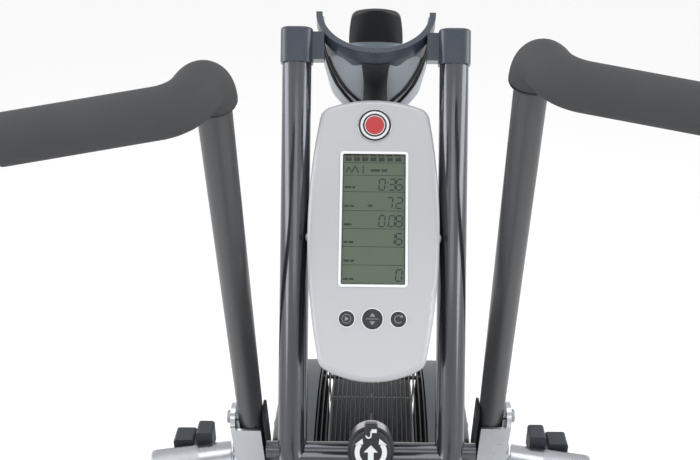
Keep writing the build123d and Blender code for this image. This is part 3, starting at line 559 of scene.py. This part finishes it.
def sheet_faces(rows, cols):
    """Faces of a closed sheet given as two grids, its face and its back: quads on both, and a strip
    round the border that joins them."""
    back = rows * cols
    faces = grid_faces(rows, cols, wrap_cols=False)
    faces += [face[::-1] for face in grid_faces(rows, cols, wrap_cols=False, start=back)]
    first_row, last_row = np.arange(cols), (rows - 1) * cols + np.arange(cols - 2, -1, -1)
    right_side, left_side = np.arange(1, rows) * cols + cols - 1, np.arange(rows - 2, 0, -1) * cols
    edge = np.concatenate([first_row, right_side, last_row, left_side])
    after = np.roll(edge, -1)
    return faces + np.stack([after, edge, edge + back, after + back], axis=-1).tolist()


def plate(name, low, high, half_low, half_high, near, thick, dip, corner):
    """Upright plate curved like a lid: half width runs from half_low to half_high with rounded top
    corners, half = h - corner * (1 - sqrt(1 - q^2)) for q from 0 to 1 over the top, and the face
    bows towards the rider by 7 (1 - u^2); its foot arches up by dip (1 - u^2)."""
    rows, cols = 40, 33
    v = np.linspace(0, 1, rows)[:, None]
    u = np.linspace(-1, 1, cols)[None, :]
    q = np.clip((v * (high - low) - (high - low - corner)) / corner, 0, 1)
    half = half_low + (half_high - half_low) * v ** 2 - corner * (1 - np.sqrt(1 - q ** 2 * 0.98))
    x = u * half
    up = low + (high - low) * v + dip * (1 - u ** 2) * (1 - v) + 8.0 * (1 - u ** 2) * v ** 3
    away = near - 7.0 * (1 - u ** 2) + 0 * v
    faced = np.stack([in_holder(x, away, up), in_holder(x, away + thick, up)])
    return solid(name, faced, sheet_faces(rows, cols))


rest = plate("holder_rest_cap", -87.0, -38.5, 33.0, 27.5, 55.0, 4.0, 9.0, 10.0)
attach(rest, "frame", black_plastic)
rest_foot = plate("holder_rest_foot", -112.0, -70.0, 32.6, 30.0, 56.5, 2.0, 0.0, 4.0)
attach(rest_foot, "frame", grey_plastic)
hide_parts("holder_trim")


def swept(name, line, radius, sides=16, up=(0, 0, 1)):
    """Round bar along a line: rings of radius r in the plane square to the tangent t at each point,
    spanned by n = t x up and t x n."""
    line = np.asarray(line, dtype=float)
    t = np.gradient(line, axis=0)
    t /= np.linalg.norm(t, axis=1, keepdims=True)
    n = np.cross(t, np.asarray(up, dtype=float))
    n /= np.linalg.norm(n, axis=1, keepdims=True)
    m = np.cross(t, n)
    a = np.linspace(0, 2 * pi, sides, endpoint=False)
    r = np.broadcast_to(radius, (len(line),))[:, None, None]
    round_way = np.cos(a)[None, :, None] * n[:, None] + np.sin(a)[None, :, None] * m[:, None]
    return solid(name, line[:, None] + r * round_way, grid_faces(len(line), sides), sharp=50.0)


rib_top, wire_up = 14.0, (0.1, 1, 0)


for side, hand in ((-1, "left"), (1, "right")):
    for label, start, stop, rib_foot in (("outer", 1.24, 0.30, 94.0), ("inner", 1.14, 0.20, 82.0)):
        s = np.linspace(0, 1, 40)
        angle = side * (start + (stop - start) * s ** 1.25)
        depth = rib_top + (rib_foot - rib_top) * s ** 0.9
        line = round_holder(angle, depth, cup_radius(depth) + 0.3)
        rib = swept("holder_rib_" + label + "_" + hand, line, 0.0019 + 0.0006 * np.sin(pi * s), up=wire_up)
        attach(rib, "frame", black_plastic)
    prong_line = round_holder(side * 1.46, 15.0 + 24.0 * np.linspace(0, 1, 8), 63.2)
    prong = swept("holder_prong_" + hand, prong_line, 0.0017, 12, wire_up)
    attach(prong, "frame", black_plastic)

# The black spine up the middle of the cup widens where it meets the rim and at its foot. It is
# 2.6 mm thick and rounded at its sides.
spine_rows, spine_cols = 40, 25
s = np.linspace(0, 1, spine_rows)[:, None]
u = np.linspace(-1, 1, spine_cols)[None, :]
depth = 12.0 + 84.0 * s + 0 * u
half_angle = 0.205 + 0.05 * (1 - s) ** 6 + 0.16 * s ** 5
heights = (2.6 - 0.8 * u ** 2, 0.2)
spine_skins = [round_holder(u * half_angle, depth, cup_radius(depth) + out) for out in heights]
spine = solid("holder_spine", np.stack(spine_skins), sheet_faces(spine_rows, spine_cols))
attach(spine, "frame", black_plastic)

# A dark skirt under the rim deepens in two rounded scallops on each side of the spine.
skirt_rows, skirt_cols = 6, 121
s = np.linspace(0, 1, skirt_rows)[:, None]
u = np.linspace(-1.5, 1.5, skirt_cols)[None, :]
side_scallop = 13.0 * np.exp(-((np.abs(u) - 0.98) / 0.16) ** 2)
front_scallop = 5.0 * np.exp(-((np.abs(u) - 0.4) / 0.12) ** 2)
depth = 5.0 + (9.0 + side_scallop + front_scallop) * s
skirt_skins = [round_holder(u + 0 * s, depth, cup_radius(depth) + out) for out in (1.5, 0.15)]
skirt = solid("holder_skirt", np.stack(skirt_skins), sheet_faces(skirt_rows, skirt_cols))
attach(skirt, "frame", cap_plastic)

# ---------------------------------------------------------------- fan cage
# Hoops of round wire, resistance welded to twelve cross bars, then dipped in black. The bars
# show between the hoops on the side towards the rider.
fan_at = np.array((0.0, 0.320, 0.420))
hoop_count, hoop_steps, hoop_sides = 24, 180, 10
hoop_half, hoop_radius, hoop_wire = 71.8, 298.8, 1.25
turn = np.linspace(0, 2 * pi, hoop_steps, endpoint=False)[None, :, None]
around = np.linspace(0, 2 * pi, hoop_sides, endpoint=False)[None, None, :]
hoop_x = np.linspace(-hoop_half, hoop_half, hoop_count)[:, None, None] + hoop_wire * np.sin(around)
hoop_r = hoop_radius + hoop_wire * np.cos(around)
hoops = np.stack(np.broadcast_arrays(hoop_x, hoop_r * np.cos(turn), hoop_r * np.sin(turn)), axis=-1)
faces = []
for index in range(hoop_count):
    faces += grid_faces(hoop_steps, hoop_sides, wrap_rows=True, start=index * hoop_steps * hoop_sides)
cage = solid("cage_hoops", hoops / 1000.0 + fan_at, faces)

bar_count, bar_steps, bar_sides = 12, 8, 12
bar_half, bar_radius, bar_wire = 73.0, 294.5, 2.9
turn = (radians(15) + np.arange(bar_count) * 2 * pi / bar_count)[:, None, None]
around = np.linspace(0, 2 * pi, bar_sides, endpoint=False)[None, None, :]
bar_x = np.linspace(-bar_half, bar_half, bar_steps)[None, :, None]
bar_r = bar_radius + bar_wire * np.cos(around)
bar_off = bar_wire * np.sin(around)
bar_y = bar_r * np.cos(turn) - bar_off * np.sin(turn)
bar_z = bar_r * np.sin(turn) + bar_off * np.cos(turn)
bars = np.stack(np.broadcast_arrays(bar_x, bar_y, bar_z), axis=-1)
faces = []
for index in range(bar_count):
    faces += grid_faces(bar_steps, bar_sides, start=index * bar_steps * bar_sides)
cage_bars = solid("cage_bars", bars / 1000.0 + fan_at, faces)
cage_wire = finish(
    "cage_wire", (30, 31, 33), metal=0.3, rough=(0.25, 0.36), scale=500.0, depth=0.05, coat=0.3
)
attach(cage, "frame", cage_wire)
attach(cage_bars, "frame", cage_wire)
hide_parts("fan_cage")

# ---------------------------------------------------------------- grips
# Closed-cell foam sleeves pushed over the bent tube ends. The foam is soft, dark and finely
# pored, and its ends are rolled over.
arm_up = np.array((0.0, -sin(radians(17.5)), cos(radians(17.5))))
pivot = np.array((0.0, 0.277, 0.655))


def bend_line(corners, bend, count=26):
    """Straight runs joined by arcs of one radius: each corner becomes points of a circle that
    touches both runs at radius / tan(half the angle between them) from it."""
    pieces = [corners[0][None]]
    for before, corner, after in zip(corners[:-2], corners[1:-1], corners[2:]):
        a, b = before - corner, after - corner
        a, b = a / np.linalg.norm(a), b / np.linalg.norm(b)
        half = np.arccos(np.clip(a @ b, -1, 1)) / 2
        middle_way = (a + b) / np.linalg.norm(a + b)
        centre = corner + middle_way * bend / np.sin(half)
        start = corner + a * bend / np.tan(half) - centre
        stop = corner + b * bend / np.tan(half) - centre
        whole = np.arccos(np.clip(start @ stop / bend ** 2, -1, 1))
        w = np.linspace(0, 1, count)[:, None]
        arc = (np.sin((1 - w) * whole) * start + np.sin(w * whole) * stop) / np.sin(whole)
        pieces.append(centre + arc)
    pieces.append(corners[-1][None])
    return np.concatenate(pieces)


def along_line(line, step):
    """The same line with evenly spaced points, by linear interpolation over its length."""
    run = np.concatenate([[0], np.cumsum(np.linalg.norm(np.diff(line, axis=0), axis=1))])
    where = np.linspace(0, run[-1], int(run[-1] / step) + 2)
    return np.stack([np.interp(where, run, line[:, k]) for k in range(3)], axis=-1), where / run[-1], run[-1]


def on_arm(height):
    """Point on the right arm's centre line: pivot + height * arm_up, leaning in by sin(1.25 deg)."""
    return pivot + arm_up * height + np.array((0.156 - sin(radians(1.25)) * height, 0, 0))


arm_top = on_arm(0.637)
down_arm = (on_arm(0.024) - arm_top) / np.linalg.norm(on_arm(0.024) - arm_top)
grip_bend, grip_end = np.array((0.156, 0.031, 1.250)), np.array((0.308, 0.011, 1.228))
grip_corners = [arm_top + down_arm * 0.034, arm_top, grip_bend, grip_end]
line, share, total = along_line(bend_line(grip_corners, 0.032), 0.0022)
ends = np.minimum(share, 1 - share) * total
foam_radius, end_radius, rolled_length = 0.0218, 0.0163, 0.006
rolled = foam_radius - 0.0034 * np.clip(1 - ends / rolled_length, 0, 1) ** 2.2
line = np.concatenate([line[:1] + (line[0] - line[1]) * 0.02, line, line[-1:] + (line[-1] - line[-2]) * 0.02])
rolled = np.concatenate([[end_radius], rolled, [end_radius]])

# The right arm stands 3.5 degrees further forward than the left one, as the two swing in turn.
swing = radians(-3.5)
swung = np.array(((1, 0, 0), (0, cos(swing), -sin(swing)), (0, sin(swing), cos(swing))))
foam = finish("foam", (62, 63, 65), rough=(0.72, 0.88), scale=2600.0, depth=0.5, vary=0.1)
plug_steps = np.array((-0.004, -0.002, 0.0, 0.0022, 0.0034, 0.004))[:, None]
plug_radius = np.array((0.0158, 0.0158, 0.0158, 0.0148, 0.0118, 0.004))
for side, hand in ((1, "right"), (-1, "left")):
    placed = line * np.array((side, 1, 1))
    if side == 1:
        placed = pivot + (placed - pivot) @ swung.T
    grip = swept("foam_grip_" + hand, placed, rolled, sides=40, up=(0, 0.3, -1))
    attach(grip, "arm_" + hand, foam)
    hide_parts("grip_" + hand)
    tail = placed[-2] - placed[-6]
    plug_line = placed[-1] + tail / np.linalg.norm(tail) * plug_steps
    plug = swept("grip_plug_" + hand, plug_line, plug_radius, 32, (0, 0.3, -1))
    attach(plug, "arm_" + hand, rubber)

# ---------------------------------------------------------------- lock knob print
# The knob that locks the mast carries a moulded print: two curved arrows that point round it,
# an arrow up between them and a small hook sign on its tab. The print is a pale hot-stamped foil.
mast_lean = radians(28)
mast_up = np.array((0.0, sin(mast_lean), cos(mast_lean)))
mast_back = np.array((0.0, -cos(mast_lean), sin(mast_lean)))
knob_face = np.array((0.0, 0.104097, 0.845)) - mast_up * 0.008 + mast_back * 0.0335
on_knob = laid_on(knob_face, (1, 0, 0), mast_up, mast_back)

prints = [np.array(((-3, -14), (3, -14), (3, 0), (7.5, 0), (0, 7.5), (-7.5, 0), (-3, 0)))]
for side in (-1, 1):
    band_start, band_stop = pi / 2 - side * (pi / 2 - 0.62), pi / 2 - side * (pi / 2 + 0.75)
    band = arc_band(14.5, 5.2, band_start, band_stop, steps=16)
    prints.append(band if side == 1 else band[::-1])
    prints.append(np.array(((side * 8.2, 8.4), (side * 17.2, 8.0), (side * 9.0, 14.5)))[::side])
prints.append(arc_band(2.6, 1.5, pi, 2 * pi, (-2.6, 17.8), 12))
prints += [block(-0.7, 0.8, 17.6, 22.5), block(0.4, 6.0, 20.6, 24.5)]
attach(stamps("knob_print", prints, on_knob, 0.05, 0.2), "lock_knob", pale_print)

# ---------------------------------------------------------------- foot pegs
# Turned steel sleeves with a rolled diamond knurl on their outer half, a plain bright inner
# half, and small moulded stops beyond them. The sleeve is pressed on, and the knurl is rolled.
peg_sweep = radians(12)
peg_way = np.array((cos(peg_sweep), -sin(peg_sweep), 0.0))
plain_run, knurled_run = np.linspace(1.0, 38.0, 14), np.linspace(39.0, 103.0, 190)
run = np.concatenate([[0.0, 0.3], plain_run, knurled_run, [104.2, 105.4, 106.2]])[:, None]
angle = np.linspace(0, 2 * pi, 240, endpoint=False)[None, :]
knurled = np.clip((run - 44.0) / 1.5, 0, 1) * np.clip((102.0 - run) / 1.5, 0, 1)
diamond = np.abs(np.sin(angle * 30 + run * 1.25)) * np.abs(np.sin(angle * 30 - run * 1.25))
rounding = np.zeros_like(run)
rounding[:2, 0] = 1.2, 0.2
rounding[-2:, 0] = 1.0, 3.0
radius = 24.15 + knurled * (0.55 * diamond - 0.1) - rounding
knurl_zinc = finish("knurled_zinc", (178, 181, 186), metal=1.0, rough=(0.2, 0.34), scale=120.0, depth=0.08)
upward = np.array((0, 0, 1.0))
for side, hand in ((-1, "left"), (1, "right")):
    peg_start = np.array((side * 0.188, 0.277, 0.655))
    out_way = peg_way * np.array((side, 1, 1))
    level_way = np.cross(upward, out_way)
    round_way = np.cos(angle)[..., None] * level_way + np.sin(angle)[..., None] * upward
    grid = peg_start + (run[..., None] * out_way + radius[..., None] * round_way) / 1000.0
    sleeve = solid("peg_sleeve_" + hand, grid, grid_faces(len(run), 240), sharp=60.0)
    attach(sleeve, "frame", knurl_zinc)
moulded = finish("moulded_stop", (44, 50, 58), rough=(0.35, 0.45), scale=1200.0, depth=0.1)
wear(["peg_stops"], moulded)

# ---------------------------------------------------------------- cover screws
# Domed machine screws with a cross recess, in the shroud faces and the console's edge. The
# recess is drawn as a dark inset cross of painted shade; real ones are pressed into the head.


def turned(name, profile, at, axis, sides=64, lobes=0, lobe_depth=0.0):
    """Surface of revolution: profile rows of (along, radius) in mm, turned about an axis through a
    point, with radius * (1 + lobe_depth * cos(lobes * a)) where the piece has lobes."""
    profile = np.asarray(profile, dtype=float)
    axis = np.asarray(axis, dtype=float) / np.linalg.norm(axis)
    first = np.cross((0.0, 0.0, 1.0), axis)
    first /= np.linalg.norm(first)
    second = np.cross(axis, first)
    a = np.linspace(0, 2 * pi, sides, endpoint=False)[None, :]
    r = profile[:, 1:2] * (1 + lobe_depth * np.cos(lobes * a))
    round_way = np.cos(a)[..., None] * first + np.sin(a)[..., None] * second
    grid = np.asarray(at) + (profile[:, 0][:, None, None] * axis + r[..., None] * round_way) / 1000.0
    return solid(name, grid, grid_faces(len(profile), sides), sharp=40.0)


# Painted shade: the crosses' dark colour stands for the shade inside a real cross recess.
cross_shade = finish("painted_recess_shade", (40, 41, 43), metal=0.8, rough=(0.4, 0.5))
cover_x, screw_ring, cover_screw, console_screw = 134.0, 253.5, 6.0, 4.5
spots = []
for side in (-1, 1):
    for k in range(6):
        around = radians(88 + 60 * k)
        place = (side * cover_x, 320 + screw_ring * cos(around), 420 + screw_ring * sin(around))
        spots.append((side, place, cover_screw))
    spots.append((side, (side * cover_x, -125.0, 330.0), cover_screw))
    spots.append((side, (side * cover_x, -65.0, 390.0), cover_screw))
    spots.append((side, (side * 70.6, 188.0, 1048.0), console_screw))
for index, (side, place, radius) in enumerate(spots):
    at = np.array(place) / 1000.0
    dome = [(0, radius), (0.7, radius), (1.5, radius * 0.8), (2.1, radius * 0.45), (2.3, 0.3)]
    head = turned("cover_screw_%02d" % index, dome, at, (side, 0, 0), 28)
    attach(head, "frame", bolt_steel)
    reach, half = radius * 0.5, 0.5
    slots = [block(-reach, reach, -half, half), block(-half, half, -reach, reach)]
    on_head = laid_on(at, (0, 1, 0), (0, 0, 1), (side, 0, 0))
    cross = stamps("screw_cross_%02d" % index, slots, on_head, 1.9, 2.36)
    attach(cross, "frame", cross_shade)
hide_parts("cover_screws")

# ---------------------------------------------------------------- transport wheels
# Two moulded hard rubber wheels with a rounded tread and a dished hub, on a steel axle.
half_profile = [(11, 5.2), (11, 11), (8.5, 12), (8.5, 20), (11, 22), (9.5, 25.2), (6.5, 26.6), (2, 27)]
wheel_profile = [(-along, radius) for along, radius in half_profile] + half_profile[::-1]
for side, hand in ((-1, "left"), (1, "right")):
    wheel = turned("wheel_tread_" + hand, wheel_profile, (side * 0.190, 0.542, 0.033), (1, 0, 0), 72)
    attach(wheel, "wheels", rubber)
    if side == -1:
        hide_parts("transport_wheels")

# ---------------------------------------------------------------- seat knob
# A moulded pull-and-turn knob with six soft lobes and a plain dished cap.
knob_profile = [(9.2, 11), (10.0, 12), (12.0, 12.5), (13.5, 17.0), (15.0, 19.0), (23.0, 19.4),
                (25.8, 18.2), (27.0, 15.5), (26.6, 9.0), (26.2, 0.4)]
knob_at = (0, -0.364508, 0.570)
seat_knob = turned("seat_knob_lobed", knob_profile, knob_at, (0, -1, 0), 96, lobes=6, lobe_depth=0.045)
attach(seat_knob, "seat_knob", black_plastic)

# ---------------------------------------------------------------- pedals
# Moulded platforms with a barrel round the spindle, end plates and rows of raised treads that
# keep a shoe from slipping, and an amber reflector let into each long edge.
amber = finish("reflector_amber", (226, 120, 30), rough=(0.12, 0.2), scale=200.0, depth=0.4, coat=0.8)
treads = []
for x in np.linspace(-39.0, 39.0, 7):
    treads += [block(x - 1.6, x + 1.6, 16.0, 40.0), block(x - 1.6, x + 1.6, -40.0, -16.0)]
treads += [block(-44, 44, 41.0, 43.0), block(-44, 44, -43.0, -41.0)]
pedal_x, pedal_y, pedal_half = 0.2435, -0.065, 0.044
for side, hand, height in ((-1, "left", 0.495), (1, "right", 0.165)):
    for top, label in ((1, "top"), (-1, "under")):
        on_pedal = laid_on((side * pedal_x, pedal_y, height), (1, 0, 0), (0, top, 0), (0, 0, top))
        tread = stamps("pedal_tread_" + label + "_" + hand, treads, on_pedal, 11.9, 13.6)
        attach(tread, "pedal_" + hand, black_plastic)
    for end, label in ((1, "front"), (-1, "rear")):
        edge_at = (side * pedal_x, pedal_y + end * pedal_half, height)
        on_edge = laid_on(edge_at, (1, 0, 0), (0, 0, 1), (0, end, 0))
        reflector = stamps("pedal_reflector_" + label + "_" + hand, [rounded(62, 12, 3)], on_edge, 0.05, 1.1)
        attach(reflector, "pedal_" + hand, amber)

# ---------------------------------------------------------------- saddle
# A broad foam saddle in black vinyl. The foam swells the cover under pressure, held in at its
# hem, with one piped seam round it and a shallow relief down the middle.
vinyl = finish("saddle_vinyl", (34, 35, 38), rough=(0.38, 0.52), scale=420.0, depth=0.3, vary=0.08)
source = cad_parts["saddle"]
saddle = source.copy()
saddle.data = source.data.copy()
saddle.name = "saddle_cover"
saddle.parent = None
saddle.matrix_world = source.matrix_world
scene.collection.objects.link(saddle)
remesh = saddle.modifiers.new("even_skin", "REMESH")
remesh.mode = "VOXEL"
remesh.voxel_size = 0.005
bpy.context.view_layer.update()
graph = bpy.context.evaluated_depsgraph_get()
shape = bpy.data.meshes.new_from_object(saddle.evaluated_get(graph))
saddle.modifiers.clear()
saddle.data = shape
points = np.empty(len(shape.vertices) * 3)
shape.vertices.foreach_get("co", points)
points = points.reshape(-1, 3)

# The relief is a groove 9 mm deep, about 24 mm wide at half its depth, that fades out before both
# ends of the saddle. The front 90 mm of the top is then drawn down by up to 12 mm.
y0, y1 = points[:, 1].min(), points[:, 1].max()
along = np.sin(pi * np.clip((points[:, 1] - y0 - 0.03) / (y1 - y0 - 0.06), 0, 1)) ** 0.7
top = np.clip((points[:, 2] - 0.940) / 0.02, 0, 1)
points[:, 2] -= 0.009 * top * along * np.exp(-(points[:, 0] / 0.014) ** 2)
points[:, 2] -= 0.012 * top * np.clip((points[:, 1] - (y1 - 0.09)) / 0.09, 0, 1) ** 1.5
shape.vertices.foreach_set("co", points.ravel())
shape.update()
swell_steps, swell_limit, hem_height = 20, 0.004, 0.9125
hem = saddle.vertex_groups.new(name="hem")
hem.add(np.flatnonzero(points[:, 2] < hem_height).tolist(), 1.0, "REPLACE")
cloth = saddle.modifiers.new("swell", "CLOTH")
cloth.settings.quality = 6
cloth.settings.mass = 0.4
cloth.settings.tension_stiffness = 40
cloth.settings.compression_stiffness = 40
cloth.settings.bending_stiffness = 4
cloth.settings.use_pressure = True
cloth.settings.uniform_pressure_force = 4.0
cloth.settings.vertex_group_mass = "hem"
cloth.settings.effector_weights.gravity = 0.0
cloth.collision_settings.use_collision = False
cloth.point_cache.frame_start = 1
cloth.point_cache.frame_end = swell_steps
scene.frame_start, scene.frame_end = 1, swell_steps
for step in range(1, swell_steps + 1):
    scene.frame_set(step)
bpy.context.view_layer.update()
graph = bpy.context.evaluated_depsgraph_get()
swollen = bpy.data.meshes.new_from_object(saddle.evaluated_get(graph))
saddle.modifiers.clear()
saddle.vertex_groups.clear()
saddle.data = swollen
moved = np.empty(len(swollen.vertices) * 3)
swollen.vertices.foreach_get("co", moved)
shift = moved.reshape(-1, 3) - points
length = np.linalg.norm(shift, axis=1, keepdims=True)
moved = points + shift * np.minimum(1.0, swell_limit / np.maximum(length, 1e-9))
swollen.vertices.foreach_set("co", moved.ravel())
swollen.update()
scene.frame_set(1)
saddle.data.shade_smooth()
smooth = saddle.modifiers.new("smooth_skin", "SUBSURF")
smooth.levels = 1
smooth.render_levels = 1
wear([saddle], vinyl)
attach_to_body(saddle, "seat")
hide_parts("saddle")


saddle_rear_y, saddle_nose_gap = -0.451771, 0.128
saddle_rear_radius, saddle_nose_radius = 0.105, 0.032


def saddle_edge(outset, height):
    """The saddle's outline seen from above, moved out a little, at one height: two circles joined
    by the straight lines that touch both, where the slope of a side is asin((R - r) / d)."""
    slope = np.arcsin((saddle_rear_radius - saddle_nose_radius) / saddle_nose_gap)
    rear_turn = np.linspace(slope, -pi - slope, 90)
    nose_turn = np.linspace(-pi - slope, -2 * pi + slope, 40)
    rear = (saddle_rear_radius + outset) * np.column_stack([np.cos(rear_turn), np.sin(rear_turn)])
    nose = (saddle_nose_radius + outset) * np.column_stack([np.cos(nose_turn), np.sin(nose_turn)])
    rear[:, 1] += saddle_rear_y
    nose[:, 1] += saddle_rear_y + saddle_nose_gap
    line = np.concatenate([rear, nose, rear[:1]])
    even, _, _ = along_line(np.column_stack([line, np.full(len(line), height)]), 0.004)
    return even[:-1]


def loop_bar(name, line, radius, sides=10):
    """Closed round bar in a level plane: rings spanned by the outward normal and +Z."""
    t = np.roll(line, -1, axis=0) - np.roll(line, 1, axis=0)
    t /= np.linalg.norm(t, axis=1, keepdims=True)
    n = np.cross(t, (0.0, 0.0, 1.0))
    a = np.linspace(0, 2 * pi, sides, endpoint=False)[None, :, None]
    grid = line[:, None] + radius * (np.cos(a) * n[:, None] + np.sin(a) * np.array((0, 0, 1.0)))
    return solid(name, grid, grid_faces(len(line), sides, wrap_rows=True), sharp=80.0)


piping = loop_bar("saddle_piping", saddle_edge(0.0015, 0.9215), 0.0021)
attach(piping, "seat", vinyl)
